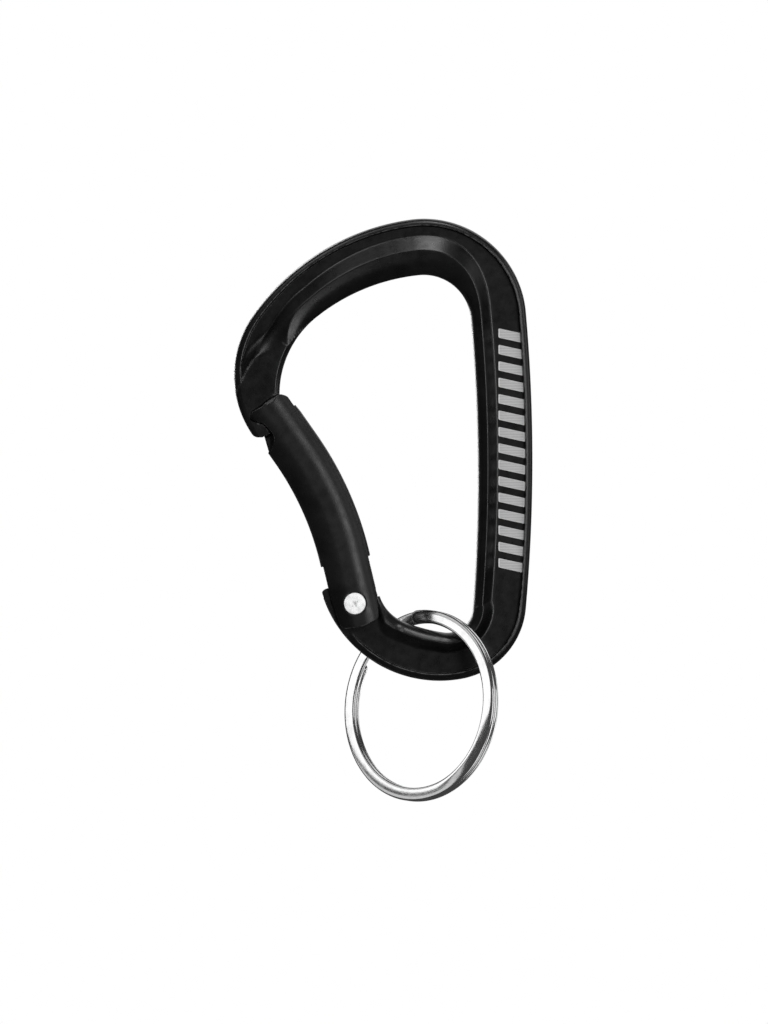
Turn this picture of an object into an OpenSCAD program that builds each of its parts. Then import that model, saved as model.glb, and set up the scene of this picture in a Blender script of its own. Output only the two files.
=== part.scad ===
// Accessory carabiner keyring: a bent-gate keylock carabiner with a split key ring on it.
// Millimetres.  X runs from the gate side to the spine, Z runs up, Y is through the thickness.
// The origin is the inner top of the carabiner, where it hangs on a peg or a belt loop.

/* [Frame] */
// Thickness of the rounded inner ridge
ridge_thick = 5.2; // [4.8:0.1:5.3]
// Thickness of the flat web between the ridge and the rim, and of the hinge tang
web_thick = 2.4; // [2.0:0.1:2.6]
// Thickness of the outer rim
rim_thick = 3.8; // [3.0:0.1:4.4]
// Width of the outer rim
rim_wide = 1.0; // [0.7:0.1:1.3]
// Thickness of the flat-sided nose
nose_thick = 4.8; // [4.4:0.1:5.2]
// Distance from the inner edge to the crest of the ridge, along the spine
crest_at_spine = 1.4; // [1.2:0.1:1.6]
// Distance from the inner edge to the foot of the ridge, along the spine
foot_at_spine = 2.6; // [2.3:0.1:3.0]
// Distance from the inner edge to the crest of the ridge, at the top
crest_at_top = 3.0; // [2.4:0.1:3.2]
// Distance from the inner edge to the foot of the ridge, at the top
foot_at_top = 5.0; // [4.4:0.1:5.2]

/* [Gate] */
// Width of the gate bar, seen from the front
gate_wide = 6.6; // [6.2:0.1:6.8]
// Thickness of the gate bar
gate_thick = 5.4; // [5.0:0.1:5.6]
// Width of the slots at both ends of the gate
slot_wide = 2.8; // [2.7:0.05:3.0]
// Radius of the bend in the gate
gate_bend_radius = 41; // [39:1:43]

/* [Hinge] */
// Diameter of the rivet shank
rivet_d = 2.0; // [1.6:0.1:2.2]
// Diameter of the rivet heads
rivet_head_d = 2.8; // [2.6:0.1:3.2]
// Height of a rivet head above its seat
rivet_head_high = 0.35; // [0.25:0.05:0.45]
// Running clearance on the radius between the shank and the tang
rivet_play = 0.04; // [0.02:0.01:0.08]

/* [Closing spring] */
// Diameter of the plunger pin
plunger_d = 1.6; // [1.4:0.1:1.7]
// Length of the plunger pin
plunger_long = 4.6; // [4.2:0.1:5.0]
// Diameter of the spring wire
spring_wire = 0.3; // [0.2:0.05:0.35]
// Number of turns in the spring
spring_turns = 6; // [5:1:7]

/* [Key ring] */
// Outer diameter of the split ring
ring_d = 25; // [24.6:0.1:25.4]
// Width of the ring wire, along the radius
ring_wire_wide = 1.75; // [1.5:0.05:2.0]
// Thickness of one turn of the ring wire
ring_wire_thick = 0.66; // [0.5:0.02:0.7]
// Angle that the ring is turned about its own upright diameter
ring_turn = 39.5; // [36:0.5:43]
// Angle that the ring leans towards the spine
ring_lean = 8.3; // [7:0.1:10]

/* [Hidden] */
$fn = 64;

black = [0.09, 0.09, 0.095];
steel = [0.78, 0.78, 0.8];
spring_steel = [0.6, 0.6, 0.62];

// The frame outlines are chains of tangent arcs, turning clockwise: [radius, sweep].
outer_start = [-22.46, -20.81];
outer_heading = 124.5;
outer_arcs = [[13.6, 70.1], [30.2, 46.3], [13.3, 93.0], [217, 10.2], [10.2, 74.5], [16, 83], [40, 12]];
inner_start = [-18.9, -15.54];
inner_heading = 90;
inner_arcs = [[12.8, 51.4], [25.5, 32.7], [6.13, 90.8], [231, 9.4], [3.3, 94.1], [24.4, 12.1], [5.6, 56]];

// Headings at which the section is drawn, and the number of steps between them
heading_stops = [136, 124.5, 90, 54.4, 8.1, -84.9, -94.3, -169.6, -188.4, -200.5, -211, -218, -251];
heading_steps = [1, 3, 5, 6, 14, 3, 11, 2, 2, 2, 3, 5];

// The hinge: pivot, and the direction of the gate's straight lower end
pivot = [-9.11, -42.77];
gate_low_angle = 103.5;
gate_along = [cos(gate_low_angle), sin(gate_low_angle)];
gate_across = [sin(gate_low_angle), -cos(gate_low_angle)];

// The gate's centreline: straight upper end, one bend, straight lower end
gate_high_angle = 125;
gate_bend = gate_high_angle - gate_low_angle;
gate_offset = 0.1;
gate_arc_base = 6.3;
gate_end_spare = 12;

// The plunger pushes on the tang beside the pivot, which closes the gate
plunger_offset = 0.8;
tang_top = 2.65;
tang_gap = 0.04;
cam_end_angle = 50;
slot_roof = 5.6;
spring_bore_d = 2.0;
spring_seat = 12.2;
spring_gap = 0.03;

// The keylock nose: a blade that the gate's slot closes over
blade_radius = 24.72;
blade_gap = 0.26;
nose_gap = 0.16;
nose_corner = [-21.45, -19.9];
nose_corner_radius = 1.2;

ring_centre = [-0.5, -0.2, -56.05];
ring_coil_gap = 0.03;
ring_cross_start = 296;
ring_cross_long = 34;
ring_first_angle = -14;
ring_last_angle = 652;

far = 30;
eps = 0.01;
coplanar_gap = 0.04;

// ---- plane geometry -------------------------------------------------------------------------

function unit(v) = v / norm(v);
function smooth(t) = t <= 0 ? 0 : t >= 1 ? 1 : t * t * (3 - 2 * t);
// Unit vector to the right of a heading
function side(heading) = [sin(heading), -cos(heading)];
function arc_states(p, heading, arcs, i = 0) =
    i == len(arcs) ? [] :
    let (r = arcs[i][0], sweep = arcs[i][1], c = p + r * side(heading), next = heading - sweep)
    concat([[c, r, heading, next]], arc_states(c - r * side(next), next, arcs, i + 1));

outer_states = arc_states(outer_start, outer_heading, outer_arcs);
inner_states = arc_states(inner_start, inner_heading, inner_arcs);

// The point of a chain of arcs where it runs in a given heading
function chain_point(states, heading) =
    let (hits = [for (s = states) if (heading <= s[2] + eps && heading >= s[3] - eps) s])
    hits[0][0] - hits[0][1] * side(heading);

// Below its first heading the nose runs straight on
nose_tail = 7;
function outer_point(heading) =
    heading > outer_heading
        ? outer_start - [cos(outer_heading), sin(outer_heading)] * (heading - outer_heading) / 6
        : chain_point(outer_states, heading);
function inner_point(heading) =
    heading > inner_heading
        ? inner_start - [0, nose_tail * (heading - inner_heading) / (heading_stops[0] - inner_heading)]
        : chain_point(inner_states, heading);

// A polygon whose corners [x, z, setback] are rounded over the setback
function soft_corner(a, b, c, setback, n = 5) =
    setback == 0 ? [b] :
    let (from = b + unit(a - b) * setback, to = b + unit(c - b) * setback)
    [for (i = [0:n]) let (t = i / n) from * (1 - t) * (1 - t) + b * 2 * t * (1 - t) + to * t * t];
function xz(p) = [p[0], p[1]];
function soft_outline(pts) =
    let (n = len(pts))
    [for (i = [0:n - 1])
        each soft_corner(xz(pts[(i + n - 1) % n]), xz(pts[i]), xz(pts[(i + 1) % n]), pts[i][2])];

// A point of the gate's lower end, in the frame: along and across its straight axis
function by_pivot(across, along) = pivot + gate_across * across + gate_along * along;

// Extrudes a shape drawn in X and Z through the thickness, from y = low to y = high
module through(low, high) {
    translate([0, high, 0]) rotate([90, 0, 0]) linear_extrude(height = high - low) children();
}

// The same cut on both sides of the middle plane, from y = half outwards
module both_sides(half) {
    through(half, half + far / 4) children();
    through(-half - far / 4, -half) children();
}

// ---- sweeping -------------------------------------------------------------------------------

// Joins equal closed rings of points into one closed solid
module skin(rings) {
    n = len(rings[0]);
    count = len(rings);
    points = [for (ring = rings) each ring];
    walls = [for (i = [0:count - 2]) for (j = [0:n - 1])
        let (a = i * n + j, b = i * n + (j + 1) % n)
        each [[a, b, b + n], [a, b + n, a + n]]];
    first_cap = [for (j = [n - 1:-1:0]) j];
    last_cap = [for (j = [0:n - 1]) (count - 1) * n + j];
    polyhedron(points, concat([first_cap], walls, [last_cap]));
}

// ---- frame ----------------------------------------------------------------------------------

// How far the ridge has spread at a heading: 0 on the spine, 1 at the top
function spread(heading) =
    heading > 8 ? 1 - 0.55 * smooth((heading - 8) / 50) : smooth((heading + 85) / 75);
// How far the section has turned into the flat nose
function nose_part(heading) = smooth((heading - 60) / 14);
// How far the section has turned into the flat pads beside the hinge
function pad_part(heading) = smooth((-211 - heading) / 7);
function mix(a, b, t) = a * (1 - t) + b * t;

function section_side(heading, wide) =
    let (
        t = nose_part(heading),
        k = spread(heading),
        crest_full = crest_at_spine + (crest_at_top - crest_at_spine) * k,
        crest = min(crest_full * (1 - 0.5 * t), wide * 0.46),
        foot = min(foot_at_spine + (foot_at_top - foot_at_spine) * k, wide * 0.74),
        rim_w = min(rim_wide, wide * 0.24),
        web = mix(web_thick, nose_thick, t) / 2,
        ridge = mix(mix(ridge_thick, nose_thick, t) / 2, web, pad_part(heading)),
        rim = mix(mix(rim_thick, nose_thick, t) / 2, web, pad_part(heading))
    )
    [
        [0, ridge * 0.34],
        [crest * 0.3, ridge * 0.8],
        [crest, ridge],
        [mix(crest, foot, 0.55), mix(web, ridge, mix(0.75, 1, t))],
        [foot, web],
        [wide - rim_w, web],
        [wide - rim_w * 0.75, rim],
        [wide - rim_w * 0.35, rim * (1 - 0.08 * t)],
        [wide, rim * 0.45],
    ];

function frame_ring(heading) =
    let (
        inner = inner_point(heading),
        outer = outer_point(heading),
        wide = norm(outer - inner),
        out = (outer - inner) / wide,
        pts = section_side(heading, wide),
        n = len(pts)
    )
    concat(
        [for (p = pts) let (q = inner + out * p[0]) [q[0], -p[1], q[1]]],
        [for (i = [n - 1:-1:0]) let (q = inner + out * pts[i][0]) [q[0], pts[i][1], q[1]]]);

frame_headings = concat(
    [for (i = [0:len(heading_steps) - 1]) for (j = [0:heading_steps[i] - 1])
        heading_stops[i] + (heading_stops[i + 1] - heading_stops[i]) * j / heading_steps[i]],
    [heading_stops[len(heading_stops) - 1]]);

// The cam on the tang is the involute of the plunger's offset, so the plunger stays square to it
function cam_point(angle) =
    let (r = plunger_offset, u = tang_top + r * angle * PI / 180)
    by_pivot(r * cos(angle) + u * sin(angle), u * cos(angle) - r * sin(angle));

module tang() {
    shape = concat(
        soft_outline([
            [-12.92, -42.7, 0], [-13.45, -41.25, 0.3], [-12.95, -40.85, 0.25],
            concat(by_pivot(0, tang_top), 0)]),
        [for (a = [0:5:cam_end_angle]) cam_point(a)],
        [by_pivot(3.05, 1.2), by_pivot(3.12, 0.4), by_pivot(2.4, -1.5), [-7.5, -45.5], [-10.5, -45],
            [-12.2, -43.6]]);
    half = web_thick / 2 - coplanar_gap;
    through(-half, half) polygon(shape);
}

// The end of the nose: a rounded corner, and a blade end that is concentric with the hinge
module nose_end() {
    through(-far / 4, far / 4) {
        difference() {
            polygon([[-26, -20], [-22.6, -20], nose_corner, [-21.2, -20], [-21.2, -26], [-26, -26]]);
            translate(nose_corner) circle(r = nose_corner_radius);
        }
        intersection() {
            translate(pivot) circle(r = blade_radius, $fn = 180);
            polygon([[-21.3, -19.5], [-17, -19.5], [-17, -24], [-21.3, -24]]);
        }
    }
}

// The side recesses in the nose that the gate's two hooks close into
module nose_recess() {
    g = nose_gap;
    both_sides(slot_wide / 2 - blade_gap) polygon(soft_outline([
        [-16, -15.54 + g, 0], [-18.85, -15.5 + g, 0], [-20.5 - g * 0.5, -16.4 + g, 0.4],
        [-21.25 - g * 0.5, -17.15 + g, 0.3], [-22.55 - g, -17.9 + g * 0.6, 0.45],
        [-22.6 - g, -18.95 - g * 0.6, 0.45], [-20.95, -19.4 - g, 0.5], [-19.75 - g, -21.0, 0.7],
        [-19.9 - g, -23.5, 0], [-16, -23.5, 0]]));
}

module frame() {
    color(black) difference() {
        difference() {
            union() {
                skin([for (h = frame_headings) frame_ring(h)]);
                tang();
            }
            nose_end();
        }
        nose_recess();
        translate([pivot[0], 0, pivot[1]]) rotate([90, 0, 0])
            cylinder(d = rivet_d + 2 * rivet_play, h = web_thick + 4 * coplanar_gap, center = true);
    }
}

// ---- gate -----------------------------------------------------------------------------------

// The obround section of the bar: [across, through the thickness]
gate_section = let (end = (gate_wide - gate_thick) / 2, r = gate_thick / 2, n = 7)
    concat(
        [for (i = [0:n]) let (a = -90 + 180 * i / n) [end + r * cos(a), r * sin(a)]],
        [for (i = [0:n]) let (a = 90 + 180 * i / n) [r * cos(a) - end, r * sin(a)]]);

// The bar that the gate is cut from, swept along its centreline
module gate_bar() {
    base = by_pivot(gate_offset, gate_arc_base);
    bend_centre = base - gate_across * gate_bend_radius;
    steps = 9;
    top = bend_centre + gate_bend_radius * side(gate_high_angle);
    stations = concat(
        [[base - gate_along * gate_end_spare, gate_low_angle]],
        [for (i = [0:steps]) let (a = gate_low_angle + gate_bend * i / steps)
            [bend_centre + gate_bend_radius * side(a), a]],
        [[top + gate_end_spare * [cos(gate_high_angle), sin(gate_high_angle)], gate_high_angle]]);
    skin([for (s = stations) [for (p = gate_section)
        let (q = s[0] + p[0] * side(s[1])) [q[0], p[1], q[1]]]]);
}

module gate_outline() {
    polygon(soft_outline([
        // upper end: hook, end face, inner shoulder
        [-22.62, -20.95, 0], [-22.6, -17.88, 0.4], [-21.25, -17.2, 0.3], [-20.5, -16.4, 0.4],
        [-18.85, -15.5, 0.35], [-17.75, -15.85, 0.5], [-15.5, -18.6, 0],
        // inner side, left wide so that the bar itself is the edge
        [-5, -30, 0], concat(by_pivot(3.8, 7), 0), concat(by_pivot(3.05, 0.6), 0.6),
        // lower end round the rivet
        [-5.95, -44.75, 0.7], [-8.3, -45.9, 1.2], [-10.85, -46.1, 0.6],
        // outer side, and the web between the slot and the hollows
        concat(by_pivot(-2.85, 0.6), 0.6), concat(by_pivot(-3.8, 7), 0), [-21, -34, 0],
        [-24, -25, 0], [-20.3, -23.1, 0], [-20.93, -20.95, 0]]));
}

// The hollow behind each hook, which swings clear of the nose
module hook_hollow() {
    both_sides(slot_wide / 2 - 0.05) polygon(soft_outline([
        [-24.5, -18.45, 0], [-20.95, -19.4, 0.4], [-19.5, -21.0, 0.8], [-19.75, -22.4, 0.5],
        [-20.6, -23.9, 0], [-24.5, -22, 0]]));
}

module gate_slots() {
    half = slot_wide / 2;
    roof = slot_roof;
    through(-half, half) {
        difference() {
            polygon([[-26, -24], [-19.2, -24], [-18.5, -19.9], [-17.9, -18.4], [-15.9, -15.4],
                [-14, -12], [-26, -12]]);
            translate(pivot) circle(r = blade_radius - blade_gap, $fn = 180);
        }
        polygon([by_pivot(-6, roof), by_pivot(6, roof), by_pivot(6, -6), by_pivot(-6, -6)]);
    }
}

module along_plunger(along) {
    at = by_pivot(plunger_offset, along);
    translate([at[0], 0, at[1]]) rotate([0, 90 - gate_low_angle, 0]) children();
}

module gate() {
    color(black) difference() {
        intersection() {
            gate_bar();
            through(-gate_thick, gate_thick) gate_outline();
        }
        gate_slots();
        hook_hollow();
        translate([pivot[0], 0, pivot[1]]) rotate([90, 0, 0]) {
            cylinder(d = rivet_d, h = far, center = true);
            for (s = [-1, 1]) translate([0, 0, s * (gate_thick / 2 + 0.8)])
                cylinder(d = rivet_head_d + 0.06, h = 2, center = true);
        }
        along_plunger(slot_roof - 1) cylinder(d = spring_bore_d, h = spring_seat - slot_roof + 1);
    }
}

// ---- rivet ----------------------------------------------------------------------------------

module gate_rivet() {
    seat = gate_thick / 2 - 0.2;
    top = seat + rivet_head_high;
    r = rivet_head_d / 2;
    half = [[0, 0], [rivet_d / 2, 0], [rivet_d / 2, seat], [r, seat], [r, top - 0.12],
        [r - 0.12, top], [0, top]];
    color(steel) translate([pivot[0], 0, pivot[1]]) rotate([90, 0, 0]) {
        rotate_extrude() polygon(half);
        mirror([0, 0, 1]) rotate_extrude() polygon(half);
    }
}

// ---- closing spring -------------------------------------------------------------------------

plunger_tip = tang_top + tang_gap;
plunger_back = plunger_tip + plunger_long;

module spring_plunger() {
    r = plunger_d / 2;
    color(spring_steel) along_plunger(plunger_tip)
        rotate_extrude() polygon([[0, 0], [r - 0.25, 0], [r, 0.25], [r, plunger_long - 0.15],
            [r - 0.15, plunger_long], [0, plunger_long]]);
}

module gate_spring() {
    r = (spring_bore_d - 0.16) / 2 - spring_wire / 2;
    low = plunger_back + spring_gap + spring_wire / 2;
    high = spring_seat - spring_gap - spring_wire / 2;
    per_turn = 12;
    count = spring_turns * per_turn;
    sides = 6;
    wire = spring_wire / 2;
    color(spring_steel) along_plunger(0) skin([for (i = [0:count])
        let (a = 360 * i / per_turn, lift = low + (high - low) * i / count)
        [for (j = [sides - 1:-1:0]) let (b = 360 * j / sides, d = r + wire * cos(b))
            [d * cos(a), d * sin(a), lift + wire * sin(b)]]]);
}

// ---- key ring -------------------------------------------------------------------------------

// Two turns of flat wire; each end stops beside the stretch where the wire crosses over
module key_ring() {
    mid = (ring_d - ring_wire_wide) / 2;
    half_gap = (ring_wire_thick + ring_coil_gap) / 2;
    step = 7.05;
    count = ceil((ring_last_angle - ring_first_angle) / step);
    w = ring_wire_wide / 2;
    t = ring_wire_thick / 2;
    wire = [[-w, -t * 0.5], [-w * 0.8, -t], [w * 0.8, -t], [w, -t * 0.5],
        [w, t * 0.5], [w * 0.8, t], [-w * 0.8, t], [-w, t * 0.5]];
    color(steel) translate(ring_centre) rotate([0, ring_lean, 0]) rotate([0, 0, -ring_turn])
        skin([for (i = [0:count])
            let (
                a = ring_first_angle + (ring_last_angle - ring_first_angle) * i / count,
                depth = half_gap * (2 * smooth((a - ring_cross_start) / ring_cross_long) - 1)
            )
            [for (p = wire) [(mid + p[0]) * sin(a), depth + p[1], (mid + p[0]) * cos(a)]]]);
}

frame();
gate();
gate_rivet();
gate_spring();
spring_plunger();
key_ring();
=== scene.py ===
"""The looks of the carabiner keyring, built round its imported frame.

Shapes are worked out in millimetres and turned into metres when a piece is finished.
X runs from the gate side to the spine, Z runs up, Y is through the thickness, and the front is -Y.
"""

import math

import bmesh
import bpy
import numpy as np
from mathutils import Matrix, Vector


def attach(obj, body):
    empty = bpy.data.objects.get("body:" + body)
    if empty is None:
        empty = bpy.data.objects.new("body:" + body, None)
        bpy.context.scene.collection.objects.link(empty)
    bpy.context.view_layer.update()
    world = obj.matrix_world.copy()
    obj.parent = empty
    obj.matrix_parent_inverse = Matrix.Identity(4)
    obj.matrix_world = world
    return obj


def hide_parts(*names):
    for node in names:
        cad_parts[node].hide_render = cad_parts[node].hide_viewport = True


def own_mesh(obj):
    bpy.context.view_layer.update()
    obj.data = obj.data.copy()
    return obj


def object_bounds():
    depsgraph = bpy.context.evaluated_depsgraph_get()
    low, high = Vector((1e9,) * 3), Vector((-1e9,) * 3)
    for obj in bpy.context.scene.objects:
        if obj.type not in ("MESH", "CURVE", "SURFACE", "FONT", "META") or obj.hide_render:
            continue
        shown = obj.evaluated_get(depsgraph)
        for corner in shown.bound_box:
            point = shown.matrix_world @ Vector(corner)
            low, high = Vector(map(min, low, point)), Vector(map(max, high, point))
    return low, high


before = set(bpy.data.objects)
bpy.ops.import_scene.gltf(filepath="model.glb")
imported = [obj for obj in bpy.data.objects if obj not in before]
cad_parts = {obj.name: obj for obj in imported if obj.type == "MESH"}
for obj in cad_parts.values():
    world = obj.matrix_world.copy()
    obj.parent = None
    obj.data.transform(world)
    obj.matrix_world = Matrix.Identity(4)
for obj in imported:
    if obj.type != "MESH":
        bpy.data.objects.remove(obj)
cad_low, cad_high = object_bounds()
MM = 0.001
TO_METRES = Matrix.Diagonal((MM, MM, MM, 1))

# ---- driving dimensions, in millimetres -----------------------------------------------------

RIDGE_THICK = 5.2
WEB_THICK = 2.4
RIM_THICK = 3.8
RIM_WIDE = 1.0
NOSE_THICK = 4.8
CREST_AT_SPINE, FOOT_AT_SPINE = 1.4, 2.6
CREST_AT_TOP, FOOT_AT_TOP = 3.25, 5.15
GATE_WIDE, GATE_THICK = 6.6, 5.4
SLOT_WIDE = 2.8
GATE_BEND_RADIUS = 41
RIVET_D, RIVET_HEAD_D, RIVET_HEAD_HIGH, RIVET_PLAY = 2.0, 2.8, 0.35, 0.04
RIVET_SEAT = GATE_THICK / 2 - 0.2
PLUNGER_D, PLUNGER_LONG = 1.6, 4.6
SPRING_WIRE, SPRING_TURNS, SPRING_PLAY = 0.3, 6, 0.16
RING_D, RING_WIRE_WIDE, RING_WIRE_THICK = 25, 1.75, 0.66
RING_TURN, RING_LEAN = 39.5, 8.3
RING_CENTRE = (-0.5, -0.2, -56.05)
# The wire starts and ends at these angles round the ring, and crosses over between the turns
WIRE_FIRST, WIRE_LAST, CROSS_START, CROSS_LONG = -16.5, 652, 296, 34
# How square the wire's section is, across and through, and how it is twisted, in degrees
WIRE_SQUARE_ACROSS, WIRE_SQUARE_THROUGH = 3.4, 2.4
WIRE_CONE, WIRE_TWIST, WIRE_TWIST_AT, WIRE_TWIST_LONG = 4, 11, 112, 32

# Chains of tangent arcs, turning clockwise: (radius, sweep)
OUTER_START, OUTER_HEADING = (-22.46, -20.81), 124.5
OUTER_ARCS = ((13.6, 70.1), (30.2, 46.3), (13.3, 93.0), (217, 10.2), (10.2, 74.5), (16, 83), (40, 12))
INNER_START, INNER_HEADING = (-18.9, -15.54), 90
INNER_ARCS = ((12.8, 51.4), (25.5, 32.7), (6.13, 90.8), (231, 9.4), (3.3, 94.1), (24.4, 12.1), (5.6, 56))
FIRST_HEADING, LAST_HEADING = 136, -251
NOSE_TAIL = 7

PIVOT = np.array([-9.11, -42.77])
GATE_LOW_ANGLE, GATE_HIGH_ANGLE = 103.5, 125
GATE_OFFSET, GATE_ARC_BASE, GATE_END_SPARE, GATE_TRAVEL = 0.1, 6.3, 12, 48
PLUNGER_OFFSET, TANG_TOP, TANG_GAP, CAM_END_ANGLE = 0.8, 2.65, 0.04, 50
SLOT_ROOF, SPRING_BORE_D, SPRING_SEAT, SPRING_GAP = 5.6, 2.0, 12.2, 0.03
BLADE_RADIUS, BLADE_GAP, NOSE_GAP = 24.72, 0.26, 0.16
TONGUE_RADIUS, TONGUE_HALF, TONGUE_GAP, TONGUE_PLAY = 24.95, 0.85, 0.08, 0.1
# The nose's end: where its rounded corner starts on the outer edge, its foot and its blade's edge
NOSE_CORNER, NOSE_CORNER_RADIUS = np.array([-22.5, -20.75]), 1.0
NOSE_FOOT, BLADE_EDGE, CUT_TOP, CUT_FOOT = -21.18, -21.1, -19.5, -24
COPLANAR_GAP = 0.04
# The bevel on the gate's end: its line, how far it goes in and out, and its slope
CHAMFER_START, CHAMFER_END = np.array([-20.75, -16.55]), np.array([-18.6, -15.38])
CHAMFER_IN, CHAMFER_OUT, CHAMFER_SLOPE = 0.5, 0.6, 0.58


# ---- plane geometry -------------------------------------------------------------------------


def smooth(t):
    t = np.clip(t, 0, 1)
    return t * t * (3 - 2 * t)


def mix(a, b, t):
    return a * (1 - t) + b * t


def ahead(heading):
    return np.array([math.cos(math.radians(heading)), math.sin(math.radians(heading))])


def side(heading):
    """Unit vector to the right of a heading."""
    return np.array([math.sin(math.radians(heading)), -math.cos(math.radians(heading))])


def arc_states(start, heading, arcs):
    """Each arc as (centre, radius, first heading, last heading)."""
    p, states = np.array(start, float), []
    for radius, sweep in arcs:
        centre = p + radius * side(heading)
        states.append((centre, radius, heading, heading - sweep))
        heading -= sweep
        p = centre - radius * side(heading)
    return states


OUTER = arc_states(OUTER_START, OUTER_HEADING, OUTER_ARCS)
INNER = arc_states(INNER_START, INNER_HEADING, INNER_ARCS)
GATE_ALONG, GATE_ACROSS = ahead(GATE_LOW_ANGLE), side(GATE_LOW_ANGLE)


def arc_at(states, heading):
    for state in states:
        if state[3] - 0.01 <= heading <= state[2] + 0.01:
            return state
    return states[-1]


def chain_point(states, heading):
    centre, radius = arc_at(states, heading)[:2]
    return centre - radius * side(heading)


def outer_point(heading):
    if heading > OUTER_HEADING:
        return np.array(OUTER_START) - ahead(OUTER_HEADING) * (heading - OUTER_HEADING) / 6
    return chain_point(OUTER, heading)


def inner_point(heading):
    if heading > INNER_HEADING:
        down = NOSE_TAIL * (heading - INNER_HEADING) / (FIRST_HEADING - INNER_HEADING)
        return np.array(INNER_START) - np.array([0, down])
    return chain_point(INNER, heading)


def by_pivot(across, along):
    """A point of the gate's lower end, by its straight axis."""
    return PIVOT + GATE_ACROSS * across + GATE_ALONG * along


def rounded_corner(a, b, c, setback, count):
    """Points of the corner b between a and c, rounded over the setback."""
    a, b, c = (np.array(p, float) for p in (a, b, c))
    before, after = np.linalg.norm(a - b), np.linalg.norm(c - b)
    start = b + (a - b) / before * min(setback, 0.48 * before)
    end = b + (c - b) / after * min(setback, 0.48 * after)
    t = np.linspace(0, 1, count)[:, None]
    return start * (1 - t) ** 2 + b * 2 * t * (1 - t) + end * t**2


def soft_outline(corners, count=7):
    """A closed outline whose corners (x, z, setback) are rounded."""
    points = []
    for i, (x, z, setback) in enumerate(corners):
        if setback == 0:
            points.append(np.array([[x, z]]))
        else:
            before, after = corners[i - 1][:2], corners[(i + 1) % len(corners)][:2]
            points.append(rounded_corner(before, (x, z), after, setback, count))
    return np.concatenate(points)


def circle_outline(centre, radius, count=160):
    turn = np.linspace(0, 2 * math.pi, count, endpoint=False)
    return np.array(centre) + radius * np.stack([np.cos(turn), np.sin(turn)], 1)


# ---- meshes ---------------------------------------------------------------------------------


def make_object(name, points, faces):
    mesh = bpy.data.meshes.new(name)
    mesh.from_pydata([tuple(p) for p in points], [], faces)
    mesh.validate()
    made = bpy.data.objects.new(name, mesh)
    bpy.context.scene.collection.objects.link(made)
    return made


def ring_faces(count, n, start=0):
    """The faces of a solid that runs through count rings of n points each."""
    faces = [
        (i + j, i + (j + 1) % n, i + n + (j + 1) % n, i + n + j)
        for i in range(start, start + (count - 1) * n, n)
        for j in range(n)
    ]
    faces.append(tuple(range(start + n - 1, start - 1, -1)))
    faces.append(tuple(range(start + (count - 1) * n, start + count * n)))
    return faces


def skin(name, rings):
    """Joins equal closed rings of points into one solid."""
    return make_object(name, np.concatenate(rings), ring_faces(len(rings), len(rings[0])))


def face_outwards(made):
    """Turns the faces of a closed mesh so that they all look outwards."""
    work = bmesh.new()
    work.from_mesh(made.data)
    bmesh.ops.recalc_face_normals(work, faces=work.faces)
    if work.calc_volume(signed=True) < 0:
        bmesh.ops.reverse_faces(work, faces=work.faces)
    work.to_mesh(made.data)
    work.free()
    return made


def through(outline, low, high):
    """A solid with an outline in X and Z, from y = low to y = high."""
    rings = [np.insert(np.asarray(outline, float), 1, y, axis=1) for y in (low, high)]
    return face_outwards(skin("tool", rings))


def rod(base, direction, radius, length, count=48):
    """A round bar in the plane y = 0, from base along direction."""
    direction = np.array([direction[0], 0, direction[1]])
    across = np.cross(direction, [0, 1, 0])
    turn = np.linspace(0, 2 * math.pi, count, endpoint=False)[:, None]
    ring = radius * (np.cos(turn) * across + np.sin(turn) * np.array([0, 1, 0]))
    start = np.array([base[0], 0, base[1]])
    return face_outwards(skin("tool", [start + ring, start + direction * length + ring]))


def bake_modifiers(made):
    bpy.context.view_layer.update()
    shown = made.evaluated_get(bpy.context.evaluated_depsgraph_get())
    mesh = bpy.data.meshes.new_from_object(shown)
    made.modifiers.clear()
    old, made.data = made.data, mesh
    bpy.data.meshes.remove(old)


def combine(made, operation, *tools):
    """Cuts tools out of a solid, joins them to it, or keeps what they share."""
    for other in tools:
        step = made.modifiers.new(operation, "BOOLEAN")
        step.operation = operation
        step.object = other
        step.solver = "EXACT"
        bake_modifiers(made)
        bpy.data.objects.remove(other)
    return made


def soften(made, voxel, passes):
    """Remeshes a cut solid evenly, then rounds every edge a little."""
    remesh = made.modifiers.new("remesh", "REMESH")
    remesh.mode = "VOXEL"
    remesh.voxel_size = voxel
    relax = made.modifiers.new("relax", "SMOOTH")
    relax.factor = 0.5
    relax.iterations = passes
    bake_modifiers(made)


def curvature(mesh):
    """How sharply the surface bends outwards at each vertex, in turns of 1/mm."""
    n = len(mesh.vertices)
    at, normal = np.zeros(n * 3), np.zeros(n * 3)
    mesh.vertices.foreach_get("co", at)
    mesh.vertices.foreach_get("normal", normal)
    at, normal = at.reshape(-1, 3), normal.reshape(-1, 3)
    pairs = np.zeros(len(mesh.edges) * 2, int)
    mesh.edges.foreach_get("vertices", pairs)
    a, b = pairs.reshape(-1, 2).T
    step = at[b] - at[a]
    square = np.maximum((step**2).sum(1), 1e-8)
    bend_a = -2 * (normal[a] * step).sum(1) / square
    bend_b = 2 * (normal[b] * step).sum(1) / square
    count = np.bincount(a, minlength=n) + np.bincount(b, minlength=n)
    total = np.bincount(a, bend_a, n) + np.bincount(b, bend_b, n)
    return total / np.maximum(count, 1)


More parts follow.
